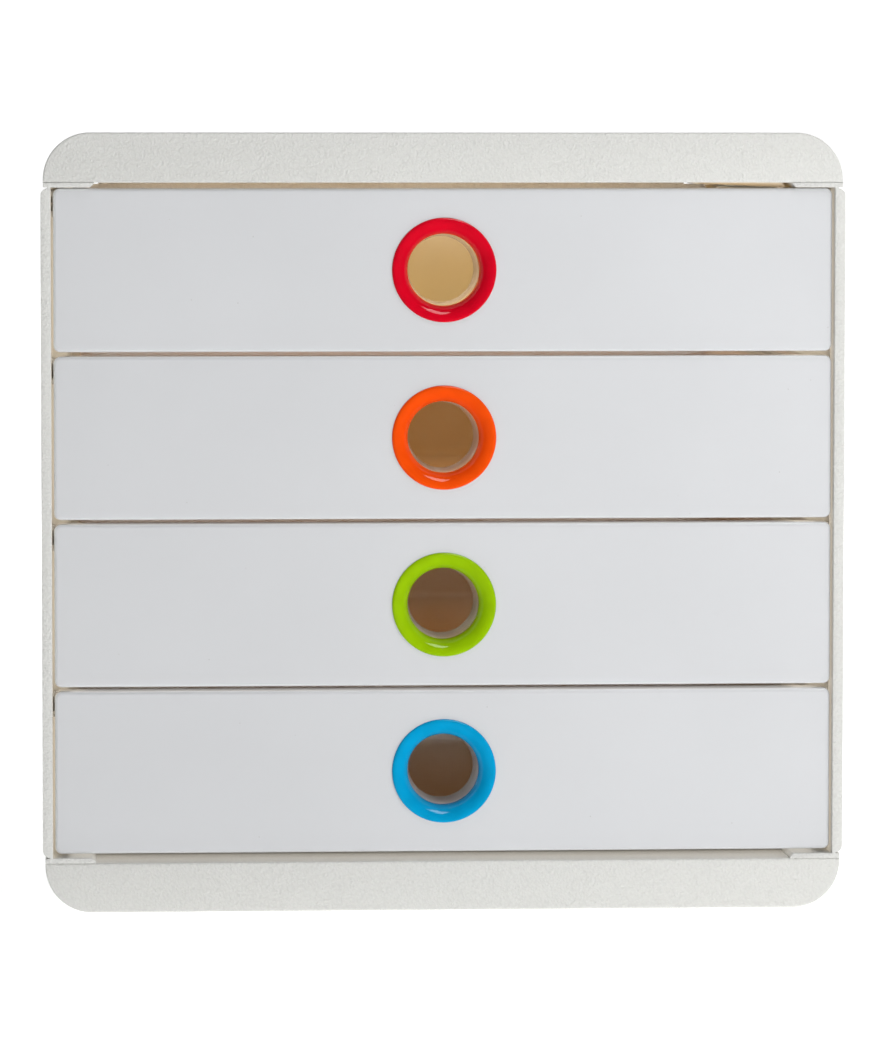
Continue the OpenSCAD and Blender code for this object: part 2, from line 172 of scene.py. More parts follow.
def add_box(name, low, high):
    deselect()
    low, high = Vector(low), Vector(high)
    bpy.ops.mesh.primitive_cube_add(size=1, location=(low + high) / 2, scale=high - low)
    return settle(bpy.context.object, name)


def add_cylinder(name, radius, start, end, vertices=96):
    """Cylinder from the centre of its one end to the centre of its other end."""
    deselect()
    start, end = Vector(start), Vector(end)
    axis = end - start
    bpy.ops.mesh.primitive_cylinder_add(
        vertices=vertices,
        radius=radius,
        depth=axis.length,
        location=(start + end) / 2,
        rotation=axis.to_track_quat("Z", "Y").to_euler(),
    )
    return settle(bpy.context.object, name)


def select(piece, kind, test):
    """Opens the piece in edit mode with only the elements that pass the test selected.

    A face's test takes its centre and normal, an edge's its two ends, a vertex's its place."""
    activate(piece)
    mesh = piece.data
    for elements in (mesh.vertices, mesh.edges, mesh.polygons):
        elements.foreach_set("select", [False] * len(elements))
    if kind == "FACE":
        for face in mesh.polygons:
            face.select = test(face.center, face.normal)
    elif kind == "EDGE":
        for edge in mesh.edges:
            a, b = (mesh.vertices[i].co for i in edge.vertices)
            edge.select = test(a, b)
    else:
        for vertex in mesh.vertices:
            vertex.select = test(vertex.co)
    bpy.context.tool_settings.mesh_select_mode = (kind == "VERT", kind == "EDGE", kind == "FACE")
    bpy.ops.object.mode_set(mode="EDIT")


def finish_edit():
    bpy.ops.object.mode_set(mode="OBJECT")


def near(a, b, tolerance=0.02 * MM):
    return abs(a - b) < tolerance


def bevel_edges(piece, test, radius, segments):
    select(piece, "EDGE", test)
    bpy.ops.mesh.bevel(offset=radius, segments=segments, affect="EDGES", profile=0.5)
    finish_edit()


def extrude_faces(piece, test, move):
    select(piece, "FACE", test)
    bpy.ops.mesh.extrude_region_move(TRANSFORM_OT_translate={"value": move})
    finish_edit()


def move_vertices(piece, test, move):
    select(piece, "VERT", test)
    bpy.ops.transform.translate(value=move)
    finish_edit()


def cut_across(piece, place, normal):
    """Adds an edge loop where a plane crosses the whole piece."""
    select(piece, "FACE", lambda centre, facing: True)
    bpy.ops.mesh.bisect(plane_co=place, plane_no=normal)
    finish_edit()


def apply_modifier(piece, kind, **settings):
    activate(piece)
    modifier = piece.modifiers.new(kind.title(), kind)
    for key, value in settings.items():
        setattr(modifier, key, value)
    bpy.ops.object.modifier_apply(modifier=modifier.name)


def combine(piece, tool, operation):
    """Adds the tool's solid to the piece or cuts it away, and removes the tool."""
    apply_modifier(piece, "BOOLEAN", object=tool, operation=operation, solver="EXACT")
    bpy.data.objects.remove(tool)


def soften(piece, radius, segments=2, angle=35.0):
    apply_modifier(
        piece, "BEVEL", width=radius, segments=segments, limit_method="ANGLE",
        angle_limit=math.radians(angle), harden_normals=False, miter_outer="MITER_ARC",
    )


def smooth(piece, angle=30.0):
    activate(piece)
    bpy.ops.object.shade_smooth_by_angle(angle=math.radians(angle))


def copy_piece(piece, name, shift):
    """A copy with its own mesh, moved in its mesh."""
    activate(piece)
    bpy.ops.object.duplicate(linked=False)
    twin = bpy.context.object
    twin.location = shift
    return settle(twin, name)


def dress(piece, node, material, slot_name):
    """Gives the piece its material, and puts it in the place of its node."""
    piece.data.materials.clear()
    piece.data.materials.append(material)
    body = next(b for b, nodes in frame["record"]["behaviour"]["bodies"].items() if node in nodes)
    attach(piece, body)
    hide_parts(node)


def revolve(name, profile, place, steps=96):
    """Spins a closed profile of (radius, depth) points round the Y axis through the place.

    Depth runs back from the drawer front's face."""
    deselect()
    bpy.ops.mesh.primitive_plane_add(size=MM, location=place)
    bpy.context.tool_settings.mesh_select_mode = (True, False, False)
    bpy.ops.object.mode_set(mode="EDIT")
    bpy.ops.mesh.select_all(action="SELECT")
    bpy.ops.mesh.merge(type="CENTER")
    radius, depth = profile[0]
    bpy.ops.transform.translate(value=(radius, depth, 0))
    for (r0, d0), (r1, d1) in zip(profile, profile[1:]):
        bpy.ops.mesh.extrude_vertices_move(TRANSFORM_OT_translate={"value": (r1 - r0, d1 - d0, 0)})
    bpy.ops.mesh.select_all(action="SELECT")
    bpy.ops.mesh.edge_face_add()
    bpy.ops.mesh.delete(type="ONLY_FACE")
    bpy.ops.mesh.select_all(action="SELECT")
    bpy.ops.mesh.spin(steps=steps, angle=2 * math.pi, center=place, axis=(0, 1, 0))
    bpy.ops.mesh.select_all(action="SELECT")
    bpy.ops.mesh.remove_doubles(threshold=0.001 * MM)
    bpy.ops.mesh.normals_make_consistent(inside=False)
    finish_edit()
    return settle(bpy.context.object, name)


def arc(centre, radii, start, end, steps):
    """Points on an arc of an ellipse; angles in degrees."""
    points = []
    for i in range(steps + 1):
        angle = math.radians(start + (end - start) * i / steps)
        points.append((centre[0] + radii[0] * math.cos(angle), centre[1] + radii[1] * math.sin(angle)))
    return points


# ---------------------------------------------------------------- materials


class Field:
    """A number that varies over a surface; arithmetic on it adds Math nodes."""

    def __init__(self, finish, socket):
        self.finish = finish
        self.socket = socket

    def math(self, operation, *others):
        values = [self.socket] + [o.socket if isinstance(o, Field) else o for o in others]
        node = self.finish.node("ShaderNodeMath", {"operation": operation}, values)
        return Field(self.finish, node.outputs[0])

    def __add__(self, other):
        return self.math("ADD", other)

    __radd__ = __add__

    def __mul__(self, other):
        return self.math("MULTIPLY", other)

    __rmul__ = __mul__

    def __sub__(self, other):
        return self.math("SUBTRACT", other)

    def __rsub__(self, other):
        return (self * -1.0) + other

    def __pow__(self, other):
        return self.math("POWER", other)

    def above(self, low, high):
        """0 below low, 1 over high, smooth between."""
        settings = {"interpolation_type": "SMOOTHSTEP"}
        inputs = {"Value": self.socket, "From Min": low, "From Max": high}
        node = self.finish.node("ShaderNodeMapRange", settings, inputs)
        return Field(self.finish, node.outputs[0])


class Graph:
    """The emptied node tree of a material or a world."""

    def __init__(self, owner):
        owner.use_nodes = True
        self.tree = owner.node_tree
        self.tree.nodes.clear()

    def node(self, kind, settings=None, inputs=None):
        """Adds a node; inputs is a list in socket order or a dict by socket name, of values, sockets or fields."""
        node = self.tree.nodes.new(kind)
        for key, value in (settings or {}).items():
            setattr(node, key, value)
        pairs = inputs.items() if isinstance(inputs, dict) else enumerate(inputs or [])
        for key, value in pairs:
            if isinstance(value, Field):
                value = value.socket
            if isinstance(value, bpy.types.NodeSocket):
                self.tree.links.new(value, node.inputs[key])
            elif value is not None:
                node.inputs[key].default_value = value
        return node


class Finish(Graph):
    """A material around one Principled shader."""

    def __init__(self, name, **constants):
        self.material = bpy.data.materials.new(name)
        super().__init__(self.material)
        self.shader = self.node("ShaderNodeBsdfPrincipled")
        self.node("ShaderNodeOutputMaterial", None, {"Surface": self.shader.outputs["BSDF"]})
        self.place = self.node("ShaderNodeTexCoord").outputs["Object"]
        for key, value in constants.items():
            self.shader.inputs[key.replace("_", " ")].default_value = value

    def noise(self, size, detail=2.0, roughness=0.5, stretch=None):
        """Noise with features of about that size, in metres, from 0 to 1."""
        inputs = {"Vector": self.stretched(stretch), "Scale": 1 / size, "Detail": detail, "Roughness": roughness}
        return Field(self, self.node("ShaderNodeTexNoise", None, inputs).outputs[0])

    def cells(self, size, feature="F1", randomness=1.0, vector=None):
        settings = {"feature": feature}
        inputs = {"Vector": vector or self.place, "Scale": 1 / size, "Randomness": randomness}
        return Field(self, self.node("ShaderNodeTexVoronoi", settings, inputs).outputs["Distance"])

    def stretched(self, scale):
        if scale is None:
            return self.place
        return self.node("ShaderNodeMapping", None, {"Vector": self.place, "Scale": scale}).outputs[0]

    def axis(self, letter):
        return Field(self, self.node("ShaderNodeSeparateXYZ", None, [self.place]).outputs[letter])

    def mix(self, factor, a, b):
        """Colour from a to b as the factor goes from 0 to 1."""
        node = self.node("ShaderNodeMix", {"data_type": "RGBA"})
        for index, value in ((0, factor), (6, a), (7, b)):
            if isinstance(value, Field):
                self.tree.links.new(value.socket, node.inputs[index])
            elif isinstance(value, bpy.types.NodeSocket):
                self.tree.links.new(value, node.inputs[index])
            else:
                node.inputs[index].default_value = value
        return node.outputs[2]

    def set(self, socket, value):
        self.tree.links.new(value.socket if isinstance(value, Field) else value, self.shader.inputs[socket])

    def bump(self, height, depth, strength=1.0):
        """Relief from a height field from 0 to 1 that is that deep, in metres."""
        inputs = {"Strength": strength, "Distance": depth, "Height": height}
        self.set("Normal", self.node("ShaderNodeBump", None, inputs).outputs[0])


def shade(rgb, factor):
    return tuple(min(1.0, c * factor) for c in rgb) + (1.0,)


def grained_plastic(rgb):
    """Matte moulded plastic with a fine leather grain."""
    finish = Finish("grained_plastic", Specular_IOR_Level=0.42)
    warp = finish.noise(1.8 * MM, 1.0)
    vector = finish.node("ShaderNodeVectorMath", {"operation": "MULTIPLY_ADD"},
                         [finish.node("ShaderNodeTexNoise", None,
                                      {"Vector": finish.place, "Scale": 1 / (1.5 * MM)}).outputs["Color"],
                          (0.8 * MM,) * 3, finish.place]).outputs[0]
    pebbles = finish.cells(0.85 * MM, "SMOOTH_F1", vector=vector)
    grain = (1.0 - pebbles) * 0.7 + finish.noise(0.5 * MM, 2.0) * 0.3
    cloud = finish.noise(60 * MM, 3.0)
    tone = (cloud * 0.15 + 0.18 + grain * 0.5 + warp * 0.1).above(0.3, 0.75)
    finish.set("Base Color", finish.mix(tone, shade(rgb, 0.93), shade(rgb, 1.045)))
    finish.set("Roughness", 0.5 + finish.noise(8 * MM) * 0.12)
    finish.bump(grain, 0.4 * MM, 1.0)
    return finish.material


def gloss_plastic(name, rgb, warm, roughness=0.09):
    """Polished plastic, faintly clouded, with a slight waviness in its reflections and a few specks of dust."""
    finish = Finish(name, Coat_Weight=0.35, Coat_Roughness=0.04)
    cloud = finish.noise(90 * MM, 2.0)
    specks = 1.0 - finish.cells(11 * MM).above(0.012, 0.03)
    body = finish.mix(cloud.above(0.3, 0.7), shade(rgb, 0.985), shade(rgb, 1.01))
    finish.set("Base Color", finish.mix(specks * 0.45, body, shade(warm, 0.45)))
    finish.set("Roughness", roughness + finish.noise(3 * MM, 3.0) * 0.05 + specks * 0.3)
    wave = finish.noise(26 * MM, 1.0) * 0.85 + finish.noise(5 * MM, 1.0) * 0.15
    finish.bump(wave, 0.05 * MM, 0.6)
    return finish.material


def ring_plastic(name, rgb):
    """Deep coloured gloss plastic."""
    finish = Finish(name, Specular_IOR_Level=0.38, Coat_Weight=0.15, Coat_Roughness=0.03)
    cloud = finish.noise(9 * MM, 2.0)
    finish.set("Base Color", finish.mix(cloud.above(0.3, 0.7), shade(rgb, 0.93), shade(rgb, 1.04)))
    finish.set("Roughness", 0.05 + finish.noise(1.5 * MM, 3.0) * 0.05)
    finish.bump(finish.noise(6 * MM, 1.0), 0.02 * MM, 0.4)
    return finish.material


def satin_plastic(rgb):
    """As-moulded satin plastic with faint flow marks along the tub."""
    finish = Finish("satin_plastic")
    flow = finish.noise(14 * MM, 3.0, stretch=(1.0, 0.12, 1.0))
    finish.set("Base Color", finish.mix(flow.above(0.25, 0.75), shade(rgb, 0.985), shade(rgb, 1.01)))
    finish.set("Roughness", 0.36 + flow * 0.08)
    finish.bump(finish.noise(0.6 * MM, 2.0) * 0.6 + flow * 0.4, 0.03 * MM, 0.5)
    return finish.material


def soft_rubber(rgb):
    finish = Finish("soft_rubber", Specular_IOR_Level=0.3)
    dust = finish.noise(3 * MM, 4.0)
    finish.set("Base Color", finish.mix(dust.above(0.45, 0.8), shade(rgb, 0.9), shade(rgb, 1.9)))
    finish.set("Roughness", 0.75 + dust * 0.15)
    finish.bump(finish.noise(0.4 * MM, 2.0), 0.05 * MM, 0.6)
    return finish.material


def zinc_steel(rgb):
    finish = Finish("zinc_steel", Metallic=1.0)
    brushing = finish.noise(0.8 * MM, 3.0, stretch=(1.0, 1.0, 0.2))
    finish.set("Base Color", finish.mix(brushing, shade(rgb, 0.85), shade(rgb, 1.1)))
    finish.set("Roughness", 0.28 + brushing * 0.2)
    finish.bump(brushing, 0.02 * MM, 0.4)
    return finish.material


def finish_named(name, make, *arguments):
    """The material of that name, made when it is first asked for."""
    return bpy.data.materials.get(name) or make(*arguments)


def housing_finish():
    return finish_named("grained_plastic", grained_plastic, bpy.context.scene.tower_colours.housing)


# ---------------------------------------------------------------- pieces


def rib_lattice(name, low, high, thickness):
    """Five crossing ribs along Y and five along X inside the box, a sixth of the covers' size apart."""
    ribs = []
    for i in range(-2, 3):
        x = i * (COVER_HIGH.x - COVER_LOW.x) / 6
        ribs.append(add_box(f"{name}_y{i + 2}", (x - thickness / 2, low.y, low.z), (x + thickness / 2, high.y, high.z)))
        y = i * (COVER_HIGH.y - COVER_LOW.y) / 6
        ribs.append(add_box(f"{name}_x{i + 2}", (low.x, y - thickness / 2, low.z), (high.x, y + thickness / 2, high.z)))
    lattice = ribs[0]
    for rib in ribs[1:]:
        combine(lattice, rib, "UNION")
    return settle(lattice, name)


def cover_moulding(name, low, high, upward, rib_height):
    """Shell with round long edges, open on the side that faces the drawers, ribbed inside."""
    sizes = bpy.context.scene.tower_housing
    closed_z, open_z = (high.z, low.z) if upward else (low.z, high.z)
    inward = -1 if upward else 1
    cover = add_box(name, low, high)
    bevel_edges(cover, lambda a, b: near(a.x, b.x) and near(a.z, closed_z) and near(b.z, closed_z),
                sizes.cover_radius, 20)
    select(cover, "FACE", lambda centre, normal: near(centre.z, open_z))
    bpy.ops.mesh.delete(type="FACE")
    finish_edit()
    apply_modifier(cover, "SOLIDIFY", thickness=sizes.cover_wall, offset=-1, use_even_offset=True)
    half_wall = sizes.cover_wall / 2
    z0, z1 = sorted((closed_z + inward * (half_wall + rib_height), closed_z + inward * half_wall))
    margin = sizes.cover_radius
    lattice = rib_lattice(name + "_ribs", Vector((low.x + margin, low.y + half_wall, z0)),
                          Vector((high.x - margin, high.y - half_wall, z1)), sizes.rib)
    combine(cover, lattice, "UNION")
    for i, (x, y) in enumerate(SCREW_PLACES):
        boss = add_cylinder(f"{name}_boss{i}", 4 * MM, (x, y, open_z), (x, y, closed_z + inward * 2 * MM), 48)
        combine(cover, boss, "UNION")
        pilot = add_cylinder(f"{name}_pilot{i}", 1.55 * MM, (x, y, open_z + inward * MM),
                             (x, y, open_z - inward * 11 * MM), 32)
        combine(cover, pilot, "DIFFERENCE")
    for y in (low.y, high.y):
        select(cover, "FACE", lambda centre, normal: near(centre.y, y) and abs(normal.y) > 0.9)
        bpy.ops.mesh.region_to_loop()
        bpy.ops.mesh.bevel(offset=sizes.cover_edge, segments=4, affect="EDGES", profile=0.5)
        finish_edit()
    soften(cover, 0.25 * MM, 2, 50)
    smooth(cover)
    return cover


def floor_panel_moulding(name):
    """Panel on the base cover's ribs with a hole for each screw boss."""
    panel = add_box(name, *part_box("floor_panel"))
    for i, (x, y) in enumerate(SCREW_PLACES):
        hole = add_cylinder(f"{name}_hole{i}", 4.15 * MM, (x, y, 0), (x, y, SIDE_HIGH.z), 48)
        combine(panel, hole, "DIFFERENCE")
    soften(panel, 0.2 * MM, 2, 40)
    smooth(panel)
    return panel


def foot_recesses(cover):
    """Pads inside the base cover with a recess in each for its foot."""
    low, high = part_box("feet")
    radius = 8 * MM
    for i, (sx, sy) in enumerate(CORNERS):
        x, y = sx * (high.x - radius), sy * (high.y - radius)
        pad = add_cylinder(f"{cover.name}_pad{i}", 10.5 * MM, (x, y, BASE_LOW.z + 1.25 * MM),
                           (x, y, BASE_LOW.z + 4.35 * MM), 64)
        combine(cover, pad, "UNION")
        recess = add_cylinder(f"{cover.name}_recess{i}", 8.15 * MM, (x, y, 0), (x, y, high.z), 64)
        combine(cover, recess, "DIFFERENCE")


def side_moulding(name):
    """Right side panel: wall between two cover flanges, runner ledges, tilt guards and stops."""
    sizes = bpy.context.scene.tower_housing
    low, high = SIDE_LOW, SIDE_HIGH
    wall_x = high.x - sizes.side_wall
    drop = sizes.flange_thickness + sizes.groove
    panel = add_box(name, (wall_x, low.y, low.z + drop), (high.x, high.y, high.z - drop))
    bevel_edges(panel, lambda a, b: near(a.x, high.x) and near(b.x, high.x) and near(a.z, b.z), sizes.side_radius, 8)
    up, back = Vector((0, 0, 1)), Vector((0, 1, 0))
    root, tip = 2.2 * MM, 1.8 * MM
    ledges, guards = [], []
    for n in DRAWERS:
        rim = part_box(f"drawer_{n}_tub")[1].z - 2.6 * MM
        ledges.append(rim - 2.5 * MM)
        guards.append(rim + 3.0 * MM)
    strips = [(z - root, z) for z in ledges] + [(z, z + root) for z in guards]
    for strip in strips:
        for z in strip:
            cut_across(panel, (0, 0, z), up)
    ledge_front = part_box("drawer_1_tub")[0].y + 0.65 * MM
    ledge_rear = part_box("rear_panel")[0].y + 2.8 * MM
    stop_front = ledge_front + 2 * MM
    for y in (ledge_front, stop_front, stop_front + 6 * MM, ledge_rear):
        cut_across(panel, (0, y, 0), back)

    def inner(centre, normal):
        return near(centre.x, wall_x) and normal.x < -0.9

    extrude_faces(panel, lambda c, n: inner(c, n) and ledge_front < c.y < ledge_rear
                  and any(z0 < c.z < z1 for z0, z1 in strips), (-sizes.ledge_width, 0, 0))
    tip_x = wall_x - sizes.ledge_width
    move_vertices(panel, lambda v: near(v.x, tip_x) and any(near(v.z, z - root) for z in ledges), (0, 0, root - tip))
    move_vertices(panel, lambda v: near(v.x, tip_x) and any(near(v.z, z + root) for z in guards), (0, 0, tip - root))
    extrude_faces(panel, lambda c, n: n.z < -0.9 and stop_front < c.y < stop_front + 6 * MM
                  and any(near(c.z, z) for z in guards), (0, 0, -2.6 * MM))
    move_vertices(panel, lambda v: near(v.y, stop_front) and any(near(v.z, z - 2.6 * MM) for z in guards),
                  (0, 3 * MM, 0))
    for z, way in ((low.z + drop, -1), (high.z - drop, 1)):
        extrude_faces(panel, lambda c, n: n.z * way > 0.9 and near(c.z, z), (0, 0, way * (drop - 0.8 * MM)))
    for outer, inner_z in ((low.z, low.z + sizes.flange_thickness), (high.z, high.z - sizes.flange_thickness)):
        bottom, top = sorted((outer, inner_z))
        flange = add_box(f"{name}_flange", (low.x, low.y, bottom), (COVER_HIGH.x, high.y, top))
        bevel_edges(flange, lambda a, b: near(a.x, low.x) and near(b.x, low.x) and near(a.z, inner_z)
                    and near(b.z, inner_z), 0.75 * sizes.flange_thickness, 1)
        combine(panel, flange, "UNION")
    for i, (x, y) in enumerate(SCREW_PLACES):
        if x > 0:
            for z in (low.z, high.z):
                hole = add_cylinder(f"{name}_hole{i}", 1.7 * MM, (x, y, z - 3 * MM), (x, y, z + 3 * MM), 32)
                combine(panel, hole, "DIFFERENCE")
    rear_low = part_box("rear_panel")[1].y
    for i, y in enumerate((ledge_rear - 1.8 * MM, rear_low + 0.15 * MM)):
        groove = add_box(f"{name}_groove{i}", (wall_x - 4 * MM, y, low.z + 1 * MM),
                         (wall_x + 1 * MM, y + 1.8 * MM, high.z - 1 * MM))
        combine(panel, groove, "UNION")
    soften(panel, sizes.edge, 2, 40)
    smooth(panel)
    return panel


def mirrored(piece, name):
    twin = copy_piece(piece, name, (0, 0, 0))
    twin.scale.x = -1
    settle(twin, name)
    bpy.ops.object.mode_set(mode="EDIT")
    bpy.ops.mesh.select_all(action="SELECT")
    bpy.ops.mesh.normals_make_consistent(inside=False)
    finish_edit()
    return twin


def rear_moulding(name):
    sizes = bpy.context.scene.tower_housing
    low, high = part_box("rear_panel")
    side_low = SIDE_LOW
    wall_x = SIDE_HIGH.x - sizes.side_wall
    plate_y = high.y - 2.5 * MM
    plate = add_box(name, (-wall_x + 0.15 * MM, plate_y, side_low.z + 1.95 * MM),
                    (wall_x - 0.15 * MM, high.y, SIDE_HIGH.z - 1.95 * MM))
    tongue = add_box(name + "_tongue", (side_low.x * -1 + 1 * MM, plate_y, low.z),
                     (side_low.x - 1 * MM, high.y, high.z))
    combine(plate, tongue, "UNION")
    half = side_low.x - 5 * MM
    z0, z1 = side_low.z + 14 * MM, SIDE_HIGH.z - 14 * MM
    for i in range(5):
        z = z0 + (z1 - z0) * i / 4
        level = add_box(f"{name}_h{i}", (-half, low.y, z - 0.9 * MM), (half, plate_y + 1 * MM, z + 0.9 * MM))
        combine(plate, level, "UNION")
        x = -half + 2 * half * i / 4
        upright = add_box(f"{name}_v{i}", (x - 0.9 * MM, low.y, z0), (x + 0.9 * MM, plate_y + 1 * MM, z1))
        combine(plate, upright, "UNION")
    soften(plate, sizes.edge, 2, 40)
    smooth(plate)
    return plate


def clip_places(front_low, rim):
    """Middle of each of the four clips in X and Z, and the side that its hook is on."""
    return [(sx * 88.5 * MM, z, up) for sx in (-1, 1) for z, up in ((rim - 8 * MM, 1), (front_low.z + 8 * MM, -1))]


def tub_moulding(name):
    """Drawer 1's tub: tray with round edges, runner flanges, stop lugs and the collar's hole."""
    sizes = bpy.context.scene.tower_drawer
    low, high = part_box("drawer_1_tub")
    front_low, front_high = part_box("drawer_1_front")
    rim = high.z - 2.6 * MM
    half = high.x - 6.9 * MM
    tub = add_box(name, (-half, low.y, low.z), (half, high.y, rim))
    bevel_edges(tub, lambda a, b: near(a.x, b.x) and near(a.y, b.y), sizes.tub_corner, 10)
    select(tub, "FACE", lambda centre, normal: near(centre.z, low.z))
    bpy.ops.mesh.region_to_loop()
    bpy.ops.mesh.bevel(offset=sizes.tub_floor, segments=8, affect="EDGES", profile=0.5)
    finish_edit()
    select(tub, "FACE", lambda centre, normal: near(centre.z, rim) and normal.z > 0.9)
    bpy.ops.mesh.delete(type="FACE")
    finish_edit()
    apply_modifier(tub, "SOLIDIFY", thickness=sizes.tub_wall, offset=-1, use_even_offset=True)
    flange_z = rim - sizes.flange_thickness
    lug_y = FRONT_PLANE + 302.45 * MM
    cut_across(tub, (0, 0, flange_z), (0, 0, 1))
    for y in (lug_y, lug_y + 8 * MM):
        cut_across(tub, (0, y, 0), (0, 1, 0))
    for side in (-1, 1):
        extrude_faces(tub, lambda c, n: n.x * side > 0.99 and near(abs(c.x), half) and c.z > flange_z,
                      (side * (high.x - half), 0, 0))
    extrude_faces(tub, lambda c, n: n.z > 0.9 and near(c.z, rim) and abs(c.x) > half + 0.1 * MM
                  and lug_y < c.y < lug_y + 8 * MM, (0, 0, 2.6 * MM))
    move_vertices(tub, lambda v: near(v.y, lug_y + 8 * MM) and near(v.z, rim + 2.6 * MM), (0, -4 * MM, 0))
    z = (front_low.z + front_high.z) / 2
    hole_r = bpy.context.scene.tower_grip.bore + 3.8 * MM
    hole = add_cylinder(name + "_hole", hole_r, (0, low.y - 2 * MM, z), (0, low.y + 6 * MM, z))
    combine(tub, hole, "DIFFERENCE")
    for i, (x, z, up) in enumerate(clip_places(front_low, rim)):
        z0, z1 = sorted((z - up * 0.95 * MM, z + up * 2.15 * MM))
        window = add_box(f"{name}_window{i}", (x - 5.15 * MM, low.y - 2 * MM, z0), (x + 5.15 * MM, low.y + 4 * MM, z1))
        combine(tub, window, "DIFFERENCE")
    soften(tub, sizes.edge, 2, 50)
    smooth(tub)
    return tub


def front_moulding(name):
    """Drawer 1's front: hollow gloss box with round corners, a softened outer edge and the ring's hole."""
    sizes = bpy.context.scene.tower_drawer
    low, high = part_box("drawer_1_front")
    back_y = low.y + sizes.front_depth
    front = add_box(name, low, (high.x, back_y, high.z))
    bevel_edges(front, lambda a, b: near(a.x, b.x) and near(a.z, b.z), sizes.front_corner, 8)
    select(front, "FACE", lambda centre, normal: normal.y < -0.9)
    bpy.ops.mesh.region_to_loop()
    bpy.ops.mesh.bevel(offset=sizes.front_edge, segments=6, affect="EDGES", profile=0.5)
    finish_edit()
    select(front, "FACE", lambda centre, normal: normal.y > 0.9)
    bpy.ops.mesh.inset(thickness=sizes.front_wall, depth=0)
    bpy.ops.mesh.extrude_region_move(TRANSFORM_OT_translate={"value": (0, sizes.front_wall - sizes.front_depth, 0)})
    finish_edit()
    ribs = []
    for i in range(-3, 4):
        x = i * (high.x - low.x) / 7
        if i:
            ribs.append(add_box(f"{name}_rib{i + 3}", (x - 0.7 * MM, low.y + 1.2 * MM, low.z + 1.2 * MM),
                                (x + 0.7 * MM, back_y - 3 * MM, high.z - 1.2 * MM)))
    for rib in ribs:
        combine(front, rib, "UNION")
    z = (low.z + high.z) / 2
    for part, radius, y0, y1, operation in (
        ("boss", 20.1 * MM, low.y + 1.2 * MM, back_y, "UNION"),
        ("hollow", 18.5 * MM, low.y + sizes.front_wall, back_y + 1 * MM, "DIFFERENCE"),
        ("hole", 17.35 * MM, low.y - 1 * MM, back_y, "DIFFERENCE"),
    ):
        combine(front, add_cylinder(f"{name}_{part}", radius, (0, y0, z), (0, y1, z)), operation)
    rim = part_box("drawer_1_tub")[1].z - 2.6 * MM
    for i, place in enumerate(clip_places(low, rim)):
        combine(front, clip_moulding(f"{name}_clip{i}", low.y + 1.2 * MM, high.y, *place), "UNION")
    smooth(front, 25)
    return front


def clip_moulding(name, y0, y1, x, z, up):
    """Springy arm with a hook that snaps behind the tub's front wall."""
    low = Vector((x - 5 * MM, y0, z - 0.8 * MM))
    high = Vector((x + 5 * MM, y1, z + 0.8 * MM))
    arm = add_box(name, low, high)
    hook_y = y1 - 2.2 * MM
    cut_across(arm, (0, hook_y, 0), (0, 1, 0))
    extrude_faces(arm, lambda c, n: n.z * up > 0.9 and c.y > hook_y, (0, 0, up * 1.2 * MM))
    move_vertices(arm, lambda v: near(v.y, y1) and near(v.z, z + up * 2 * MM), (0, 0, -up * 1.1 * MM))
    return arm


def ring_moulding(name):
    """Drawer 1's ring: rounded lip, bell mouth, spigot and neck."""
    grip = bpy.context.scene.tower_grip
    low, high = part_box("drawer_1_ring")
    radius = (high.x - low.x) / 2
    face_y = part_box("drawer_1_front")[0].y
    lip_r = radius - grip.lip_edge
    run, rise = lip_r - grip.bore, grip.bell_depth + grip.lip
    bell = arc((lip_r, grip.bell_depth), (run, rise), 180, 270, 28)
    lip = arc((lip_r, 0), (grip.lip_edge, grip.lip), 270, 360, 10)[1:]
    spigot_r, neck_r = radius - 2.3 * MM, grip.bore + 2 * MM
    profile = [(grip.bore, grip.ring_depth)] + bell + lip + [
        (spigot_r, 0), (spigot_r, 4.4 * MM), (neck_r, 4.4 * MM), (neck_r, grip.ring_depth)]
    ring = revolve(name, profile + profile[:1], Vector((0, face_y, (low.z + high.z) / 2)))
    smooth(ring, 40)
    return ring


def collar_moulding(name):
    """Drawer 1's collar: socket, flange inside the tub and tapered bore with a rounded end."""
    grip = bpy.context.scene.tower_grip
    ring_low, ring_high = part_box("drawer_1_ring")
    face_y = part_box("drawer_1_front")[0].y
    end_r = grip.bore - grip.taper
    lip = 0.8 * MM
    end = arc((end_r + lip, grip.collar_depth - lip), (lip, lip), 0, 180, 8)
    socket_r, outer_r = grip.bore + 2.15 * MM, grip.bore + 3.65 * MM
    profile = [(socket_r, 4.55 * MM), (outer_r, 4.55 * MM), (outer_r, 14 * MM), (19.5 * MM, 14 * MM),
               (19.5 * MM, 15.2 * MM), (18.9 * MM, 15.8 * MM), (grip.bore + 1.6 * MM, 15.8 * MM)] + end + [
               (grip.bore, grip.ring_depth), (socket_r, grip.ring_depth)]
    collar = revolve(name, profile + profile[:1], Vector((0, face_y, (ring_low.z + ring_high.z) / 2)))
    smooth(collar, 35)
    return collar


def drawer_shift(n):
    return Vector((0, 0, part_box(f"drawer_{n}_front")[0].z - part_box("drawer_1_front")[0].z))


def per_drawer(kind, model, material_for, slot_for):
    """Models drawer 1's piece once and copies it to the other drawers."""
    first = model(f"tower_{kind}_1")
    copies = [(1, first)] + [(n, copy_piece(first, f"tower_{kind}_{n}", drawer_shift(n))) for n in DRAWERS[1:]]
    for n, piece in copies:
        dress(piece, f"drawer_{n}_{kind}", material_for(n), slot_for(n))


RING_SLOTS = {1: "ring_red", 2: "ring_orange", 3: "ring_green", 4: "ring_blue"}


# ---------------------------------------------------------------- operators


